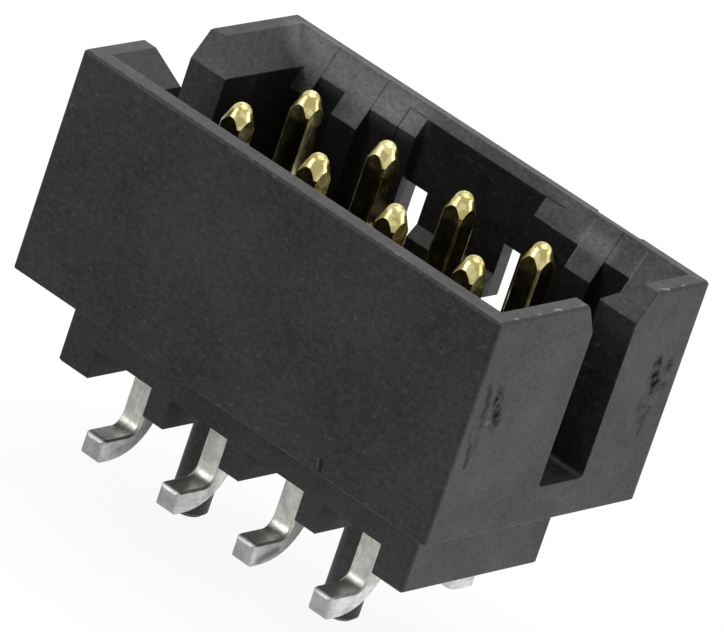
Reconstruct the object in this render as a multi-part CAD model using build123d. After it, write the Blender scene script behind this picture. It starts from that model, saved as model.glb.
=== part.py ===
from build123d import *
import math
import os

# Surface mount pin header, two rows of four, with a shroud that guides, keys and latches the plug.
# Millimetres. The origin is the centre of the contact pattern on the board's surface.
# +X runs along the rows, +Y to the wall with the latch, and +Z up, the way the plug leaves.

# Contacts
contacts_per_row = 4
pitch = 2.00
row_spacing = 2.00
wire = 0.50
wire_edge = 0.045
tip_height = 7.44
tip_dome_radius = 0.21
tip_half_angle = 22.5
foot_reach = 1.20
foot_inner_bend = 0.25
foot_outer_bend = 1.10
toe_top_radius = 0.11
toe_bottom_radius = 0.14
toe_corner_radius = 0.12

# Shroud
shroud_length = 10.75
shroud_width = 6.20
shroud_height = 4.65
rim_height = 7.60
shroud_corner_radius = 0.08
rim_edge = 0.045
skirt_edge = 0.04

# Plug cavity and its lead-in
cavity_depth = 3.87
end_wall = 0.93
end_lead_in = 0.575
side_wall = 0.55
back_land = 0.24
front_land = 0.42
side_lead_in_slope = 0.53

# Ribs, recess and pads on the inside of the back wall
rib_height = 0.236
rib_start = 2.71
rib_width = 0.66
corner_rib_start = 4.02
rib_lead_step = 0.012
recess_half_width = 1.54
recess_depth = 0.20
pad_width = 0.46
pad_depth = 0.02
pad_drop = 0.20

# Groove on the outside of the back wall
groove_centre = 3.12
groove_width = 1.22
groove_depth = 0.10
groove_side_run = 0.08

# Latch tongue and the window round it in the back wall
window_drop = 1.50
window_slot = 0.54
window_gap_below = 0.57
tongue_length = 1.15
catch_height = 0.20
catch_face = 0.25
catch_ramp = 0.24

# Keying slots in the end walls
slot_width = 1.30
right_slot_centre = 0.51
left_slot_centre = -0.41
slot_flare = 0.36
slot_flare_drop = 0.60
slot_foot_radius = 0.10

# Base under the shroud
base_length = 9.04
base_width = 4.00
base_height = 1.67
base_corner_radius = 0.08
base_edge = 0.04
notch_width = 1.50
notch_height = 0.63
notch_clearance = 0.10

# Locating pegs
peg_diameter = 0.80
peg_spacing = 4.00
peg_depth = 0.90
peg_chamfer = 0.10

half_length = shroud_length / 2
half_width = shroud_width / 2
shroud_bottom = rim_height - shroud_height
base_bottom = shroud_bottom - base_height
floor_height = rim_height - cavity_depth
cavity_half_length = half_length - end_wall
inner_face = half_width - side_wall
tongue_end = rim_height - window_drop - tongue_length
tongue_half_width = recess_half_width - window_slot
past = 1.0


def row_places():
    """X places of the contacts of one row."""
    first = -(contacts_per_row - 1) * pitch / 2
    return [first + index * pitch for index in range(contacts_per_row)]


def box_between(x_limits, y_limits, z_limits):
    """Box given by its limits on the three axes."""
    centre = Pos(sum(x_limits) / 2, sum(y_limits) / 2, sum(z_limits) / 2)
    return centre * Box(x_limits[1] - x_limits[0], y_limits[1] - y_limits[0], z_limits[1] - z_limits[0])


def prism_along_x(outline, x_limits):
    """Outline of (y, z) points extruded along X."""
    face = Plane.YZ.offset(x_limits[0]) * make_face(Polyline(*outline, close=True))
    return extrude(face, amount=x_limits[1] - x_limits[0])


def prism_along_y(outline, y_limits):
    """Outline of (x, z) points extruded along Y."""
    face = Plane.XZ.offset(-y_limits[1]) * make_face(Polyline(*outline, close=True))
    return extrude(face, amount=y_limits[1] - y_limits[0])


def rounded_block(length, width, height, corner_radius, bottom):
    """Upright block with rounded vertical corners."""
    return Pos(0, 0, bottom) * extrude(RectangleRounded(length, width, corner_radius), amount=height)


def shroud_block():
    """Outer form of the shroud, with its rim and skirt edges broken."""
    block = rounded_block(shroud_length, shroud_width, shroud_height, shroud_corner_radius, shroud_bottom)
    block = chamfer(block.faces().sort_by(Axis.Z)[-1].edges(), rim_edge)
    return fillet(block.faces().sort_by(Axis.Z)[0].edges(), skirt_edge)


def base_block():
    """Narrower block under the shroud, which fills the space down to just above the feet."""
    block = rounded_block(base_length, base_width, base_height, base_corner_radius, base_bottom)
    return chamfer(block.faces().sort_by(Axis.Z)[0].edges(), base_edge)


def lead_in_y(height, step=0.0):
    """Y of the back wall's sloping lead-in at a height, moved inwards by a step."""
    return half_width - back_land - step - (rim_height - height) * side_lead_in_slope


def lead_in_end(face_y, step=0.0):
    """Height at which the back wall's lead-in runs into an inner face."""
    return rim_height - (half_width - back_land - step - face_y) / side_lead_in_slope


def cavity_across(face_y, step=0.0):
    """Section of the cavity across the rows, with the back wall's inner face at face_y."""
    front_start = -half_width + front_land
    front_end = rim_height - (front_start + inner_face) / -side_lead_in_slope
    return [
        (front_start, rim_height + past),
        (front_start, rim_height),
        (-inner_face, front_end),
        (-inner_face, floor_height),
        (face_y, floor_height),
        (face_y, lead_in_end(face_y, step)),
        (lead_in_y(rim_height, step), rim_height),
        (lead_in_y(rim_height, step), rim_height + past),
    ]


def cavity_along():
    """Section of the cavity along the rows, with the lead-in of both end walls."""
    mouth = cavity_half_length + end_lead_in
    right_side = [
        (mouth, rim_height + past),
        (mouth, rim_height),
        (cavity_half_length, rim_height - end_lead_in),
        (cavity_half_length, floor_height),
    ]
    left_side = [(-x, z) for x, z in reversed(right_side)]
    return right_side + left_side


def pad_cut(x_limits):
    """Shallow pad beside the recess, from just under the rim to the floor."""
    top = rim_height - pad_drop
    face_y = inner_face + pad_depth
    outline = [
        (inner_face - rib_height, top),
        (lead_in_y(top, -pad_depth), top),
        (face_y, lead_in_end(face_y, -pad_depth)),
        (face_y, floor_height),
        (inner_face - rib_height, floor_height),
    ]
    return prism_along_x(outline, x_limits)


def plug_cavity():
    """Space for the plug: shallowest at the ribs of the back wall and deepest at its recess."""
    reach = half_length
    rib_end = rib_start + rib_width
    across = prism_along_x(cavity_across(inner_face - rib_height, rib_lead_step), (-reach, reach))
    for bay in ((-corner_rib_start, -rib_end), (-rib_start, rib_start), (rib_end, corner_rib_start)):
        across += prism_along_x(cavity_across(inner_face), bay)
    recess = (-recess_half_width, recess_half_width)
    across += prism_along_x(cavity_across(inner_face + recess_depth), recess)
    for side in (-1, 1):
        across += pad_cut(sorted((side * recess_half_width, side * (recess_half_width + pad_width))))
    return across & prism_along_y(cavity_along(), (-half_width, half_width))


def latch_window():
    """U-shaped cut through the back wall that leaves a tongue hanging between two slots."""
    top = rim_height - window_drop
    opening = box_between(
        (-recess_half_width, recess_half_width),
        (inner_face, half_width + past),
        (tongue_end - window_gap_below, top),
    )
    opening -= box_between((-tongue_half_width, tongue_half_width), (inner_face, half_width + past), (tongue_end, top))
    return opening


def latch_catch():
    """Ramped catch across the inside of the tongue's lower end."""
    tongue_face = inner_face + recess_depth
    catch_top = tongue_end + catch_face + catch_ramp
    outline = [
        (tongue_face + catch_height, tongue_end),
        (tongue_face - catch_height, tongue_end),
        (tongue_face - catch_height, tongue_end + catch_face),
        (tongue_face, catch_top),
        (tongue_face + catch_height, catch_top),
    ]
    return prism_along_x(outline, (-tongue_half_width, tongue_half_width))


def keying_slot(centre, x_limits):
    """Slot down to the cavity floor in one end wall, flared at its mouth."""
    narrow = slot_width / 2
    wide = narrow + slot_flare
    right_side = [
        (wide, rim_height + past),
        (wide, rim_height),
        (narrow, rim_height - slot_flare_drop),
        (narrow, floor_height),
    ]
    outline = [(centre + y, z) for y, z in right_side] + [(centre - y, z) for y, z in reversed(right_side)]
    slot = prism_along_x(outline, x_limits)
    foot_edges = slot.edges().filter_by(Axis.X).group_by(Axis.Z)[0]
    return fillet(foot_edges, slot_foot_radius)


def back_groove():
    """Shallow groove with sloping sides down the outside of the back wall."""
    outer = groove_width / 2
    inner = outer - groove_side_run
    slope = groove_side_run / groove_depth
    outline = [
        (groove_centre - outer - slope * past, half_width + past),
        (groove_centre - inner, half_width - groove_depth),
        (groove_centre + inner, half_width - groove_depth),
        (groove_centre + outer + slope * past, half_width + past),
    ]
    face = Plane.XY.offset(shroud_bottom - past) * make_face(Polyline(*outline, close=True))
    return extrude(face, amount=shroud_height + 2 * past)


def lead_notches():
    """Notch round each lead at the foot of the base, open to the outside and below."""
    notch_back = row_spacing / 2 - wire / 2 - notch_clearance
    notches = []
    for x in row_places():
        for side in (-1, 1):
            y_limits = sorted((side * notch_back, side * (base_width / 2 + past)))
            x_limits = (x - notch_width / 2, x + notch_width / 2)
            notches.append(box_between(x_limits, y_limits, (base_bottom - past, base_bottom + notch_height)))
    return notches


def post_holes():
    """Square hole in the floor for each contact, the size of its wire."""
    z_limits = (base_bottom, floor_height)
    holes = []
    for x in row_places():
        for y in (-row_spacing / 2, row_spacing / 2):
            x_limits = (x - wire / 2, x + wire / 2)
            holes.append(box_between(x_limits, (y - wire / 2, y + wire / 2), z_limits))
    return holes


def locating_peg(x):
    """Round peg that enters the board, with a chamfered end."""
    rooted = base_height / 2
    peg = Pos(x, 0, -peg_depth) * Cylinder(
        peg_diameter / 2,
        peg_depth + base_bottom + rooted,
        align=(Align.CENTER, Align.CENTER, Align.MIN),
    )
    return chamfer(peg.faces().sort_by(Axis.Z)[0].edges(), peg_chamfer)


def housing():
    """Moulded housing: shroud, base and pegs in one piece."""
    body = shroud_block() + base_block()
    body -= plug_cavity()
    body -= latch_window()
    body += latch_catch()
    body -= back_groove()
    body -= keying_slot(right_slot_centre, (cavity_half_length - past, half_length + past))
    body -= keying_slot(left_slot_centre, (-half_length - past, -cavity_half_length + past))
    body -= lead_notches()
    body -= post_holes()
    for side in (-1, 1):
        body += locating_peg(side * peg_spacing / 2)
    return body


def tip_waste():
    """What is cut away to leave a round bullet tip on the square wire."""
    half_angle = math.radians(tip_half_angle)
    corner = wire / math.sqrt(2)
    dome_end = tip_dome_radius * math.cos(half_angle)
    dome_drop = tip_dome_radius * (1 - math.sin(half_angle))
    taper_drop = dome_drop + (corner - dome_end) / math.tan(half_angle)
    dome = RadiusArc((0, tip_height), (dome_end, tip_height - dome_drop), tip_dome_radius)
    sides = Polyline(
        (dome_end, tip_height - dome_drop),
        (corner, tip_height - taper_drop),
        (wire, tip_height - taper_drop),
        (wire, tip_height + past),
        (0, tip_height + past),
        (0, tip_height),
    )
    return revolve(Plane.XZ * make_face([dome, sides]), Axis.Z)


def toe_plan():
    """Block that the wire lies in, rounded in plan at the toe's end."""
    length = foot_reach + wire / 2 + past
    plan = Pos(0, length / 2 - foot_reach, 0) * RectangleRounded(wire, length, toe_corner_radius)
    return extrude(plan, amount=tip_height)


def bent_wire():
    """Square wire bent into a post and a foot that points to -Y, with the post on the Z axis."""
    toe = -foot_reach
    outline = Polyline(
        (toe, 0),
        (wire / 2, 0),
        (wire / 2, tip_height),
        (-wire / 2, tip_height),
        (-wire / 2, wire),
        (toe, wire),
        close=True,
    )
    side = make_face(outline)
    heel = side.vertices().sort_by_distance((wire / 2, 0))[0]
    side = fillet(heel, foot_outer_bend)
    instep = side.vertices().sort_by_distance((-wire / 2, wire))[0]
    side = fillet(instep, foot_inner_bend)
    toe_top = side.vertices().sort_by_distance((toe, wire))[0]
    side = fillet(toe_top, toe_top_radius)
    toe_bottom = side.vertices().sort_by_distance((toe, 0))[0]
    side = fillet(toe_bottom, toe_bottom_radius)
    solid = extrude(Plane.YZ * side, amount=wire / 2, both=True)
    edges = solid.faces().filter_by(Axis.X).edges()
    return chamfer(edges, wire_edge) & toe_plan()


def contact(x, side):
    """One contact at its place; side is -1 in the front row and 1 in the back row."""
    piece = bent_wire() - tip_waste()
    if side > 0:
        piece = Rot(0, 0, 180) * piece
    return Pos(x, side * row_spacing / 2, 0) * piece


def all_parts():
    """Every piece of the header by its name."""
    parts = {"housing": housing()}
    for side, row in ((-1, "front"), (1, "back")):
        for number, x in enumerate(row_places(), 1):
            parts[f"contact_{row}_{number}"] = contact(x, side)
    return parts


os.makedirs("parts", exist_ok=True)
for name, piece in all_parts().items():
    export_step(piece, f"parts/{name}.step")
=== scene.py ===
import bpy
import math
from mathutils import Matrix, Vector


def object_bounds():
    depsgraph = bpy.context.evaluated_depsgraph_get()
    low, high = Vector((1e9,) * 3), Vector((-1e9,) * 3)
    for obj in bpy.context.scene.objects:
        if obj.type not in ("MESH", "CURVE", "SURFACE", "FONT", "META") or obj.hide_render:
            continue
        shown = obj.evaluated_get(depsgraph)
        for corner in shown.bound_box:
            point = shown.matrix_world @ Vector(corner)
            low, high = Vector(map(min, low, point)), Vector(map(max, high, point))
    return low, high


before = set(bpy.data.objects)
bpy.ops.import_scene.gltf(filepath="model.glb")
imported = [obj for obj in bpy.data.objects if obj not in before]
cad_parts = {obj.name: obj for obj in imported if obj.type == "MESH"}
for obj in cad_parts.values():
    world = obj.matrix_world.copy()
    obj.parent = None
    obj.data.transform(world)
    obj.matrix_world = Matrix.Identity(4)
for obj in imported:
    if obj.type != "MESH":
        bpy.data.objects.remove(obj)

mm = 0.001
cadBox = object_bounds()
print("frame loaded:", len(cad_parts), "nodes")


# helpers for node trees

def newMaterial(name):
    material = bpy.data.materials.new(name)
    material.use_nodes = True
    tree = material.node_tree
    tree.nodes.clear()
    return material, tree


def addNode(tree, kind, **settings):
    node = tree.nodes.new(kind)
    for key, value in settings.items():
        setattr(node, key, value)
    return node


def join(tree, source, target):
    tree.links.new(source, target)


# a constant is set on the socket and an output is linked to it
def feed(tree, socket, value):
    if isinstance(value, bpy.types.NodeSocket):
        tree.links.new(value, socket)
    else:
        socket.default_value = value


def mathNode(tree, operation, first, second=None, clamp=False):
    node = addNode(tree, "ShaderNodeMath", operation=operation, use_clamp=clamp)
    feed(tree, node.inputs[0], first)
    if second is not None:
        feed(tree, node.inputs[1], second)
    return node.outputs[0]


def vectorNode(tree, operation, first, second=None, scale=None):
    node = addNode(tree, "ShaderNodeVectorMath", operation=operation)
    feed(tree, node.inputs[0], first)
    if second is not None:
        feed(tree, node.inputs[1], second)
    if scale is not None:
        feed(tree, node.inputs["Scale"], scale)
    return node.outputs["Value" if operation in ("DOT_PRODUCT", "LENGTH") else "Vector"]


def placeNode(tree):
    return addNode(tree, "ShaderNodeTexCoord").outputs["Object"]


def splitNode(tree, vector):
    node = addNode(tree, "ShaderNodeSeparateXYZ")
    join(tree, vector, node.inputs[0])
    return node.outputs


def stretchNode(tree, vector, scale):
    node = addNode(tree, "ShaderNodeMapping")
    node.inputs["Scale"].default_value = scale
    join(tree, vector, node.inputs["Vector"])
    return node.outputs["Vector"]


# one layer of noise: spots per millimetre, octaves, their fall-off and how far it is drawn out
def noiseNode(tree, place, layer, output="Fac"):
    if "stretch" in layer:
        place = stretchNode(tree, place, layer["stretch"])
    node = addNode(tree, "ShaderNodeTexNoise")
    node.inputs["Scale"].default_value = layer["perMm"] / mm
    node.inputs["Detail"].default_value = layer["octaves"]
    node.inputs["Roughness"].default_value = layer["fallOff"]
    join(tree, place, node.inputs["Vector"])
    return node.outputs[output]


def rangeNode(tree, value, fromRange, toRange, smooth=False):
    node = addNode(tree, "ShaderNodeMapRange", interpolation_type="SMOOTHSTEP" if smooth else "LINEAR")
    for key, limit in zip(("From Min", "From Max", "To Min", "To Max"), (*fromRange, *toRange)):
        feed(tree, node.inputs[key], limit)
    join(tree, value, node.inputs["Value"])
    return node.outputs["Result"]


# from zero below a level to one above it
def aboveNode(tree, value, level, blur):
    return rangeNode(tree, value, (level - blur, level + blur), (0.0, 1.0), True)


def mixNode(tree, factor, first, second):
    node = addNode(tree, "ShaderNodeMix", data_type="RGBA")
    feed(tree, node.inputs[0], factor)
    feed(tree, node.inputs[6], first)
    feed(tree, node.inputs[7], second)
    return node.outputs[2]


def shareNode(tree, first, second, share):
    part = mathNode(tree, "MULTIPLY", first, share)
    rest = mathNode(tree, "MULTIPLY", second, 1 - share)
    return mathNode(tree, "ADD", part, rest)


def bumpNode(tree, height, strength, distance, normal):
    node = addNode(tree, "ShaderNodeBump")
    node.inputs["Strength"].default_value = strength
    feed(tree, node.inputs["Distance"], distance)
    join(tree, height, node.inputs["Height"])
    join(tree, normal, node.inputs["Normal"])
    return node.outputs["Normal"]


def bevelNode(tree, radius):
    node = addNode(tree, "ShaderNodeBevel", samples=4)
    node.inputs["Radius"].default_value = radius
    return node.outputs["Normal"]


def finishMaterial(tree, sockets):
    shader = addNode(tree, "ShaderNodeBsdfPrincipled")
    for key, value in sockets.items():
        feed(tree, shader.inputs[key], value)
    out = addNode(tree, "ShaderNodeOutputMaterial")
    join(tree, shader.outputs["BSDF"], out.inputs["Surface"])


# strokes are (start, end, width, strength), in millimetres; softEdge is the part of the width that fades
softEdge = 0.8


def strokeNode(tree, place, start, end, width):
    first = Vector(start) * mm
    run = (Vector(end) - Vector(start)) * mm
    fromStart = vectorNode(tree, "SUBTRACT", place, first)
    along = vectorNode(tree, "DOT_PRODUCT", fromStart, run)
    reach = mathNode(tree, "DIVIDE", along, run.length_squared, clamp=True)
    nearest = vectorNode(tree, "SCALE", run, scale=reach)
    gap = vectorNode(tree, "LENGTH", vectorNode(tree, "SUBTRACT", fromStart, nearest))
    return rangeNode(tree, gap, (width * mm * (1 - softEdge), width * mm), (1.0, 0.0), True)


def strokesNode(tree, place, strokes):
    total = 0.0
    for start, end, width, strength in strokes:
        stroke = mathNode(tree, "MULTIPLY", strokeNode(tree, place, start, end, width), strength)
        total = mathNode(tree, "MAXIMUM", stroke, total)
    return total


# black moulded plastic, with the scuffs and wear specks of its faces

plasticSettings = {
    "darkColour": (0.0020, 0.0020, 0.0026, 1),
    "lightColour": (0.0125, 0.0125, 0.0112, 1),
    "fleckColour": (0.070, 0.070, 0.066, 1),
    # painted sheen: paler colour painted on the back wall's lead-in and rim in place of reflected light
    "paintedSheenColour": (0.34, 0.34, 0.33, 1),
    # pale colour of the wear specks, also used for the painted highlights on the rib edges and on the
    # small pit's rim
    "wearAndHighlightColour": (0.30, 0.30, 0.29, 1),
    "mottle": {"perMm": 1.3, "octaves": 4.0, "fallOff": 0.6},
    "speck": {"perMm": 14.0, "octaves": 2.0, "fallOff": 0.7, "stretch": (0.7, 1.0, 1.0)},
    "fleck": {"perMm": 9.0, "octaves": 3.0, "fallOff": 0.65, "stretch": (0.5, 1.0, 1.0)},
    "grain": {"perMm": 20.0, "octaves": 3.0, "fallOff": 0.6},
    "wobble": {"perMm": 6.0, "octaves": 2.0, "fallOff": 0.6},
    "blotch": {"perMm": 6.0, "octaves": 2.0, "fallOff": 0.5},
    "cloud": {"perMm": 0.35, "octaves": 2.0, "fallOff": 0.5},
    "mottleShare": 0.5,
    "toneRange": (0.38, 0.62),
    "fleckRange": (0.58, 0.76),
    "fleckOnEnd": 0.15,
    "blotchRange": (0.42, 0.66),
    "blotchLeast": 0.30,
    "paintedSheenRange": (0.3, 0.7),
    "paintedSheenStrength": (0.3, 0.5),
    "speckShare": 0.55,
    "shineRange": (0.38, 0.62),
    "specular": (0.46, 0.76),
    "scuffShine": 0.04,
    "roughRange": (0.35, 0.65),
    "roughness": (0.46, 0.56),
    "edgeRadius": 0.035 * mm,
    "bumpStrength": 0.6,
    "grainDepth": 0.005 * mm,
    "scuffDepth": 1.5,
    "wobbleReach": 0.06 * mm,
    "cavity": {"X": 4.47 * mm, "Y": 2.77 * mm},
    "cavityFloor": 3.2 * mm,
    "uprightRange": (0.1, 0.3),
    # painted shade: how much the upright faces inside the cavity are darkened and lose their shine
    "cavityShade": 0.42,
}

# marks on the end face are given in (y, z), on the front face in (x, z) and on the rim in (x, y)
scuffStrokes = [
    ("end", (-2.43, 6.06), (-2.25, 5.42), 0.24, 0.80),
    ("end", (-2.39, 5.92), (-2.29, 5.61), 0.20, 1.0),
    ("end", (-2.76, 6.26), (-2.68, 5.80), 0.15, 0.70),
    ("end", (-2.68, 5.80), (-2.65, 5.44), 0.15, 0.62),
    ("end", (-2.64, 5.14), (-2.70, 4.72), 0.17, 0.42),
    ("end", (2.27, 6.08), (2.37, 5.80), 0.21, 0.95),
    ("end", (2.72, 5.99), (2.67, 5.86), 0.15, 0.9),
    ("end", (2.33, 5.72), (2.43, 5.56), 0.28, 1.0),
    ("end", (2.40, 5.44), (2.42, 5.37), 0.19, 0.85),
    ("end", (2.60, 5.46), (2.71, 5.45), 0.15, 0.9),
    ("end", (2.25, 5.34), (2.28, 5.28), 0.15, 0.75),
    ("end", (2.22, 5.12), (2.41, 4.80), 0.26, 0.50),
]

darkStrokes = [
    ("end", (-2.90, 5.30), (-2.77, 5.01), 0.06, 0.35),
    ("end", (-2.77, 5.01), (-2.71, 4.58), 0.10, 0.60),
    ("end", (2.50, 5.00), (2.44, 4.46), 0.075, 0.55),
    ("end", (2.14, 5.12), (2.39, 4.68), 0.045, 0.5),
    # a small pit on the front face: bumped in, with its shade painted dark
    ("front", (2.65, 3.24), (2.67, 3.06), 0.070, 0.6),
]

lightStrokes = [
    ("end", (-2.54, 5.46), (-2.40, 5.47), 0.09, 0.34),
    ("end", (-2.57, 4.70), (-2.63, 4.49), 0.06, 0.16),
    ("end", (-2.58, 6.20), (-2.50, 5.60), 0.07, 0.06),
    ("end", (-1.99, 3.08), (-1.95, 3.12), 0.050, 0.30),
    ("front", (2.68, 6.89), (2.75, 6.18), 0.030, 0.07),
    ("front", (2.75, 6.18), (2.68, 5.55), 0.030, 0.05),
    ("front", (3.31, 5.94), (3.36, 5.63), 0.030, 0.05),
    # painted highlight on the rim of the small pit on the front face
    ("front", (2.57, 3.24), (2.58, 3.08), 0.045, 0.20),
]

wearStrokes = [
    ("rim", (5.29, -2.58), (5.29, -2.52), 0.045, 0.7),
    ("rim", (5.30, -1.91), (5.30, -1.88), 0.038, 0.6),
    ("rim", (5.28, -1.41), (5.28, -1.28), 0.045, 1.0),
    ("rim", (5.28, -0.65), (5.28, -0.61), 0.045, 0.5),
    ("rim", (5.30, 1.75), (5.30, 1.88), 0.045, 0.9),
    ("rim", (5.32, 2.31), (5.32, 2.35), 0.040, 0.6),
    ("rim", (2.68, -3.04), (2.74, -3.04), 0.045, 0.4),
    ("rim", (-2.50, -2.70), (-2.46, -2.70), 0.040, 0.2),
]

# painted highlights on the left edges of the ribs on the back wall's lead-in
ribHighlightStrokes = [
    ((2.71, 2.82, 7.52), (2.71, 2.38, 6.70), 0.040, 0.38),
    ((4.02, 2.82, 7.52), (4.02, 2.38, 6.70), 0.040, 0.38),
]

# painted sheen: reflected light painted into the colour of the back wall's lead-in and rim, making them
# paler
paintedSheenStrokes = [
    ((-4.9, 2.72, 7.30), (-1.9, 2.72, 7.30), 0.62, 1.0),
    ((2.80, 2.62, 7.20), (3.28, 2.62, 7.20), 0.34, 0.8),
    ((-2.0, 2.98, 7.60), (5.2, 2.98, 7.60), 0.16, 0.35),
]


def onFace(face, first, second):
    if face == "end":
        return (cadBox[1][0] / mm, first, second)
    if face == "front":
        return (first, cadBox[0][1] / mm, second)
    return (first, second, cadBox[1][2] / mm)


def placed(strokes):
    return [
        (onFace(face, *start), onFace(face, *end), width, strength)
        for face, start, end, width, strength in strokes
    ]


# upright faces inside the plug cavity, where shade is painted
def cavityNode(tree, place, facing, s):
    split = splitNode(tree, place)
    inside = mathNode(tree, "GREATER_THAN", split["Z"], s["cavityFloor"])
    for axis, reach in s["cavity"].items():
        within = mathNode(tree, "LESS_THAN", mathNode(tree, "ABSOLUTE", split[axis]), reach)
        inside = mathNode(tree, "MULTIPLY", inside, within)
    upright = rangeNode(tree, facing["Z"], s["uprightRange"], (1.0, 0.0))
    return mathNode(tree, "MULTIPLY", inside, upright)


def makePlastic(s):
    material, tree = newMaterial("blackPlastic")
    place = placeNode(tree)
    mottle = noiseNode(tree, place, s["mottle"])
    speck = noiseNode(tree, place, s["speck"])
    fleck = noiseNode(tree, place, s["fleck"])
    grain = noiseNode(tree, place, s["grain"])
    cloud = noiseNode(tree, place, s["cloud"])
    shift = vectorNode(tree, "SUBTRACT", noiseNode(tree, place, s["wobble"], "Color"), (0.5, 0.5, 0.5))
    shift = vectorNode(tree, "SCALE", shift, scale=2 * s["wobbleReach"])
    wobbled = vectorNode(tree, "ADD", place, shift)

    tone = rangeNode(tree, shareNode(tree, mottle, speck, s["mottleShare"]), s["toneRange"], (0.0, 1.0))
    colour = mixNode(tree, tone, s["darkColour"], s["lightColour"])
    facing = splitNode(tree, addNode(tree, "ShaderNodeTexCoord").outputs["Normal"])
    onEnd = mathNode(tree, "ABSOLUTE", facing["X"])
    fleck = rangeNode(tree, fleck, s["fleckRange"], (0.0, 1.0), True)
    fleck = mathNode(tree, "MULTIPLY", fleck, rangeNode(tree, onEnd, (0.0, 1.0), (1.0, s["fleckOnEnd"])))
    colour = mixNode(tree, fleck, colour, s["fleckColour"])

    blotch = noiseNode(tree, place, s["blotch"])
    blotch = rangeNode(tree, blotch, s["blotchRange"], (1.0, s["blotchLeast"]), True)
    scuff = mathNode(tree, "MULTIPLY", strokesNode(tree, wobbled, placed(scuffStrokes)), blotch)
    dark = mathNode(tree, "MAXIMUM", scuff, strokesNode(tree, wobbled, placed(darkStrokes)))
    # pale wear specks together with painted highlights on the rib edges and the pit's rim
    wearAndHighlight = strokesNode(tree, wobbled, placed(lightStrokes + wearStrokes))
    wearAndHighlight = mathNode(tree, "MAXIMUM", wearAndHighlight, strokesNode(tree, place, ribHighlightStrokes))
    # painted sheen on the back wall's lead-in and rim, broken up by specks
    paintedSheen = rangeNode(tree, speck, s["paintedSheenRange"], s["paintedSheenStrength"])
    paintedSheen = mathNode(tree, "MULTIPLY", strokesNode(tree, place, paintedSheenStrokes), paintedSheen)
    colour = mixNode(tree, paintedSheen, colour, s["paintedSheenColour"])
    colour = mixNode(tree, dark, colour, s["darkColour"])
    colour = mixNode(tree, wearAndHighlight, colour, s["wearAndHighlightColour"])
    # painted shade on the upright faces inside the cavity
    inside = mathNode(tree, "MULTIPLY", cavityNode(tree, place, facing, s), s["cavityShade"])
    colour = mixNode(tree, inside, colour, s["darkColour"])

    shine = rangeNode(tree, shareNode(tree, speck, cloud, s["speckShare"]), s["shineRange"], s["specular"])
    shine = mathNode(tree, "MULTIPLY", shine, rangeNode(tree, dark, (0.0, 1.0), (1.0, s["scuffShine"])))
    # the painted cavity shade also takes away shine
    shine = mathNode(tree, "MULTIPLY", shine, mathNode(tree, "SUBTRACT", 1.0, inside))
    height = mathNode(tree, "SUBTRACT", grain, mathNode(tree, "MULTIPLY", dark, s["scuffDepth"]))
    edges = bevelNode(tree, s["edgeRadius"])
    finishMaterial(tree, {
        "Base Color": colour,
        "Specular IOR Level": shine,
        "Roughness": rangeNode(tree, mottle, s["roughRange"], s["roughness"]),
        "Normal": bumpNode(tree, height, s["bumpStrength"], s["grainDepth"], edges),
    })
    return material


# gold plated post and tin plated foot

platingSettings = {
    "gold": (0.86, 0.76, 0.37, 1),
    "goldStain": (0.42, 0.35, 0.11, 1),
    # colour of the painted dark reflection on the first back post
    "goldShade": (0.09, 0.08, 0.04, 1),
    "tin": (0.77, 0.77, 0.76, 1),
    "tinLead": (0.78, 0.78, 0.70, 1),
    "tinStain": (0.42, 0.42, 0.41, 1),
    # dark tin for the cut toe ends, also used for the painted dark reflections on two front feet
    "tinDark": (0.22, 0.22, 0.22, 1),
    "changeHeight": 2.8 * mm,
    "bendHeight": 0.55 * mm,
    "blur": 0.15 * mm,
    "tipRange": (6.80 * mm, 6.95 * mm),
    "cutRange": (2.13 * mm, 2.19 * mm),
    "cutDull": 0.42,
    "postStreak": {"perMm": 16.0, "octaves": 3.0, "fallOff": 0.6, "stretch": (1.0, 1.0, 0.10)},
    "footStreak": {"perMm": 16.0, "octaves": 3.0, "fallOff": 0.6, "stretch": (1.0, 0.12, 1.0)},
    "stain": {"perMm": 3.2, "octaves": 4.0, "fallOff": 0.65},
    "patch": {"perMm": 5.0, "octaves": 2.0, "fallOff": 0.5},
    "dent": {"perMm": 4.5, "octaves": 2.0, "fallOff": 0.5},
    "stainShare": 0.7,
    "dullRange": (0.42, 0.60),
    "patchRange": (0.44, 0.60),
    "stainStrength": 0.7,
    "goldRoughness": 0.10,
    "tipRoughness": 0.20,
    "tinRoughness": 0.42,
    "roughRange": (0.35, 0.65),
    "roughShift": (0.10, -0.04),
    "edgeRadius": 0.022 * mm,
    "dentStrength": 0.6,
    "tinDent": 0.020 * mm,
    "goldDent": 0.003 * mm,
    "streakStrength": 0.5,
    "streakDepth": 0.0025 * mm,
}

# painted shade: a dark reflection painted on the right side of the first back post
postShadeStrokes = [
    ((-2.75, 0.86, 6.66), (-2.75, 0.86, 6.20), 0.36, 0.9),
]

# painted dark reflections on the sides of the first and third front feet
footShadeStrokes = [
    ((-2.75, -1.86, 0.16), (-2.75, -1.66, 0.26), 0.13, 0.45),
    ((1.25, -1.94, 0.14), (1.25, -1.50, 0.28), 0.15, 0.85),
]


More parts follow.
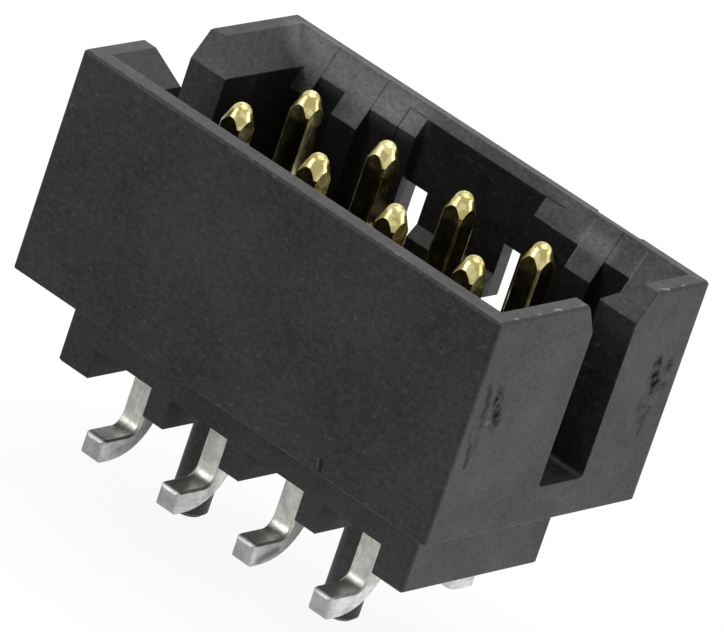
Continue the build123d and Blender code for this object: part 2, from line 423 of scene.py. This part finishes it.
def makePlating(s):
    material, tree = newMaterial("goldAndTin")
    place = placeNode(tree)
    split = splitNode(tree, place)
    isGold = aboveNode(tree, split["Z"], s["changeHeight"], s["blur"])
    isPost = aboveNode(tree, split["Z"], s["bendHeight"], s["blur"])
    isTip = rangeNode(tree, split["Z"], s["tipRange"], (0.0, 1.0), True)

    postStreak = mathNode(tree, "MULTIPLY", noiseNode(tree, place, s["postStreak"]), isPost)
    isFoot = mathNode(tree, "SUBTRACT", 1.0, isPost)
    footStreak = mathNode(tree, "MULTIPLY", noiseNode(tree, place, s["footStreak"]), isFoot)
    streak = mathNode(tree, "ADD", postStreak, footStreak)
    mixed = shareNode(tree, noiseNode(tree, place, s["stain"]), streak, s["stainShare"])

    patch = rangeNode(tree, noiseNode(tree, place, s["patch"]), s["patchRange"], (1.0, 0.0), True)
    patch = mathNode(tree, "MULTIPLY", patch, s["stainStrength"])
    goldTone = mixNode(tree, patch, s["gold"], s["goldStain"])
    # painted dark reflection on the first back post
    goldTone = mixNode(tree, strokesNode(tree, place, postShadeStrokes), goldTone, s["goldShade"])
    dull = rangeNode(tree, mixed, s["dullRange"], (1.0, 0.0))
    dull = mathNode(tree, "MULTIPLY", dull, s["stainStrength"])
    tinTone = mixNode(tree, isPost, s["tin"], s["tinLead"])
    tinTone = mixNode(tree, dull, tinTone, s["tinStain"])
    # painted dark reflections on the sides of two front feet
    tinTone = mixNode(tree, strokesNode(tree, place, footShadeStrokes), tinTone, s["tinDark"])
    outwards = mathNode(tree, "ABSOLUTE", split["Y"])
    cutEnd = rangeNode(tree, outwards, s["cutRange"], (0.0, s["cutDull"]), True)
    tinTone = mixNode(tree, cutEnd, tinTone, s["tinDark"])

    rough = rangeNode(tree, isTip, (0.0, 1.0), (s["goldRoughness"], s["tipRoughness"]))
    rough = rangeNode(tree, isGold, (0.0, 1.0), (s["tinRoughness"], rough))
    rough = mathNode(tree, "ADD", rough, rangeNode(tree, mixed, s["roughRange"], s["roughShift"]))
    dent = noiseNode(tree, place, s["dent"])
    dentDepth = rangeNode(tree, isGold, (0.0, 1.0), (s["tinDent"], s["goldDent"]))
    dented = bumpNode(tree, dent, s["dentStrength"], dentDepth, bevelNode(tree, s["edgeRadius"]))
    finishMaterial(tree, {
        "Metallic": 1.0,
        "Base Color": mixNode(tree, isGold, tinTone, goldTone),
        "Roughness": rough,
        "Normal": bumpNode(tree, streak, s["streakStrength"], s["streakDepth"], dented),
    })
    return material


plastic = makePlastic(plasticSettings)
plating = makePlating(platingSettings)
for name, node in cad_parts.items():
    node.data.materials.clear()
    node.data.materials.append(plastic if name == "housing" else plating)
print("materials done")


# floor, sky and lamps

stageSettings = {
    "floorSize": 1.2,
    "floorGap": 0.02 * mm,
    "floorColour": (0.16, 0.16, 0.16, 1),
    "floorSeen": 0.90,
    "floorMirrored": (0.40, 1.10),
    "floorTurn": (0.56, 0.83, 0.0),
    "floorBlend": (-10.0 * mm, 10.0 * mm),
    "skySeen": 1.0,
    "skyGlossy": 0.75,
    "skyDiffuse": 0.30,
}


# one for rays that the camera sees, straight or through a clear thing
def seenNode(tree, rays):
    return mathNode(tree, "MAXIMUM", rays.outputs["Is Camera Ray"], rays.outputs["Is Transmission Ray"])


def makeFloor(s):
    bpy.ops.object.select_all(action="DESELECT")
    lowest = cadBox[0][2]
    bpy.ops.mesh.primitive_plane_add(size=s["floorSize"], location=(0, 0, lowest - s["floorGap"]))
    floor = bpy.context.object
    floor.name = "floor"
    material, tree = newMaterial("paleFloor")
    diffuse = addNode(tree, "ShaderNodeBsdfDiffuse")
    diffuse.inputs["Color"].default_value = s["floorColour"]
    across = vectorNode(tree, "DOT_PRODUCT", placeNode(tree), s["floorTurn"])
    mirrored = rangeNode(tree, across, s["floorBlend"], s["floorMirrored"], True)
    rays = addNode(tree, "ShaderNodeLightPath")
    seenLevel = mathNode(tree, "MULTIPLY", seenNode(tree, rays), s["floorSeen"])
    mirroredLevel = mathNode(tree, "MULTIPLY", rays.outputs["Is Glossy Ray"], mirrored)
    glow = addNode(tree, "ShaderNodeEmission")
    join(tree, mathNode(tree, "ADD", seenLevel, mirroredLevel), glow.inputs["Strength"])
    both = addNode(tree, "ShaderNodeAddShader")
    join(tree, diffuse.outputs[0], both.inputs[0])
    join(tree, glow.outputs[0], both.inputs[1])
    out = addNode(tree, "ShaderNodeOutputMaterial")
    join(tree, both.outputs[0], out.inputs["Surface"])
    floor.data.materials.append(material)


def makeSky(s):
    world = bpy.data.worlds.new("paleSky")
    bpy.context.scene.world = world
    world.use_nodes = True
    tree = world.node_tree
    tree.nodes.clear()
    rays = addNode(tree, "ShaderNodeLightPath")
    level = rangeNode(tree, seenNode(tree, rays), (0.0, 1.0), (s["skyDiffuse"], s["skySeen"]))
    level = rangeNode(tree, rays.outputs["Is Glossy Ray"], (0.0, 1.0), (level, s["skyGlossy"]))
    background = addNode(tree, "ShaderNodeBackground")
    background.inputs["Color"].default_value = (1, 1, 1, 1)
    join(tree, level, background.inputs["Strength"])
    out = addNode(tree, "ShaderNodeOutputWorld")
    join(tree, background.outputs[0], out.inputs["Surface"])


lampSettings = {
    "target": (0.0, 0.0, 4.0 * mm),
    "boxes": {
        "topSoftbox": {"place": (0.02, 0.06, 0.36), "size": 0.34, "radiance": 1.6},
        "rightSoftbox": {"place": (0.36, 0.20, 0.14), "size": 0.22, "radiance": 1.6},
        "leftFrontSoftbox": {"place": (-0.207, -0.300, 0.164), "size": 0.20, "radiance": 2.9},
        "backSoftbox": {"place": (-0.205, 0.304, 0.20), "size": 0.26, "radiance": 0.6},
        "backRightSoftbox": {"place": (0.156, 0.304, 0.204), "size": 0.18, "radiance": 0.6},
    },
}


def makeSoftbox(name, place, size, radiance, target):
    lamp = bpy.data.lights.new(name, "AREA")
    lamp.shape = "SQUARE"
    lamp.size = size
    lamp.energy = radiance * math.pi * size ** 2
    box = bpy.data.objects.new(name, lamp)
    bpy.context.scene.collection.objects.link(box)
    box.location = place
    towards = Vector(target) - Vector(place)
    box.rotation_euler = towards.to_track_quat("-Z", "Y").to_euler()


makeFloor(stageSettings)
makeSky(stageSettings)
for name, box in lampSettings["boxes"].items():
    makeSoftbox(name, box["place"], box["size"], box["radiance"], lampSettings["target"])
print("floor, sky and lamps done")


# camera at the photograph's angle

cameraSettings = {
    "aim": (0.103 * mm, 0.374 * mm, 4.393 * mm),
    "distance": 202.25 * mm,
    "azimuth": 34.026,
    "elevation": 23.105,
    "roll": 18.895,
    "lens": 539.81,
    "sensor": 36.0,
    "clipStart": 0.01,
}


def makeCamera(s):
    azimuth = math.radians(s["azimuth"])
    elevation = math.radians(s["elevation"])
    away = Vector((
        math.sin(azimuth) * math.cos(elevation),
        -math.cos(azimuth) * math.cos(elevation),
        math.sin(elevation),
    ))
    lens = bpy.data.cameras.new("camera")
    lens.lens = s["lens"]
    lens.sensor_width = s["sensor"]
    lens.clip_start = s["clipStart"]
    camera = bpy.data.objects.new("camera", lens)
    bpy.context.scene.collection.objects.link(camera)
    upright = (-away).to_track_quat("-Z", "Y").to_matrix().to_4x4()
    turn = Matrix.Rotation(math.radians(s["roll"]), 4, "Z")
    camera.matrix_world = Matrix.Translation(Vector(s["aim"]) + away * s["distance"]) @ upright @ turn
    bpy.context.scene.camera = camera


makeCamera(cameraSettings)
bpy.context.scene.view_settings.view_transform = "Standard"
print("camera done")
